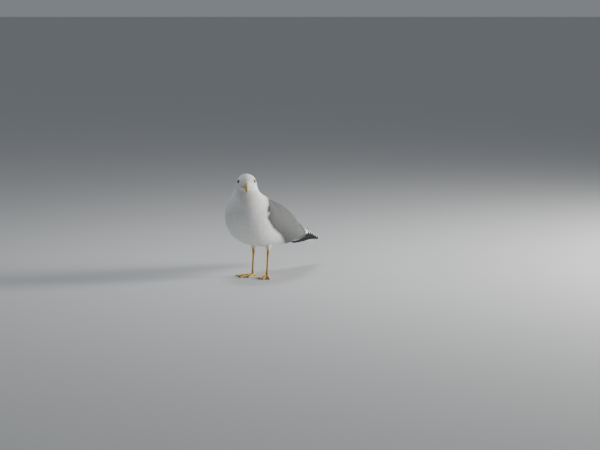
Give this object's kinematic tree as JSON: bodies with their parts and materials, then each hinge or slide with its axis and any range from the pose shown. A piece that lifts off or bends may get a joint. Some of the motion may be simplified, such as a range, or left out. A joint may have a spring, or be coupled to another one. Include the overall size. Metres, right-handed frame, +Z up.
{
  "type": "seagull",
  "caption": "Adult gull standing at rest on webbed feet, wings folded and head turned to its left; a life-size still model.",
  "frame": {"origin": "on the floor under the middle of the bird's box; the soles rest on z = 0", "axes": "+Z up; the bird faces -Y, its left side is toward +X, and its head is turned 36 degrees toward +X"},
  "size_m": [0.1676, 0.4521, 0.3053],
  "materials": {
    "white_plumage": "soft white feathers, matt",
    "grey_plumage": "mid-grey feathers, matt, white tips on the tertials and secondaries",
    "black_plumage": "black wing-tip feathers with white tips, slight sheen",
    "bill_horn": "yellow horn with a red spot near the tip of the lower half",
    "leg_skin": "yellow scaled skin",
    "eye": "pale yellow iris, dark pupil, wet gloss",
    "claw_horn": "dark horn"
  },
  "bodies": {
    "root": {"bill_lower": "bill_horn", "bill_upper": "bill_horn", "claw_inner_left": "claw_horn", "claw_inner_right": "claw_horn", "claw_middle_left": "claw_horn", "claw_middle_right": "claw_horn", "claw_outer_left": "claw_horn", "claw_outer_right": "claw_horn", "eye_left": "eye", "eye_right": "eye", "foot_left": "leg_skin", "foot_right": "leg_skin", "head": "white_plumage", "mantle": "grey_plumage", "neck": "white_plumage", "primary_left_1": "black_plumage", "primary_left_2": "black_plumage", "primary_left_3": "black_plumage", "primary_left_4": "black_plumage", "primary_left_5": "black_plumage", "primary_left_6": "black_plumage", "primary_right_1": "black_plumage", "primary_right_2": "black_plumage", "primary_right_3": "black_plumage", "primary_right_4": "black_plumage", "primary_right_5": "black_plumage", "primary_right_6": "black_plumage", "shank_left": "leg_skin", "shank_right": "leg_skin", "tail": "white_plumage", "thigh_left": "white_plumage", "thigh_right": "white_plumage", "trunk": "white_plumage", "wing_left": "grey_plumage", "wing_right": "grey_plumage"}
  },
  "joints": []
}
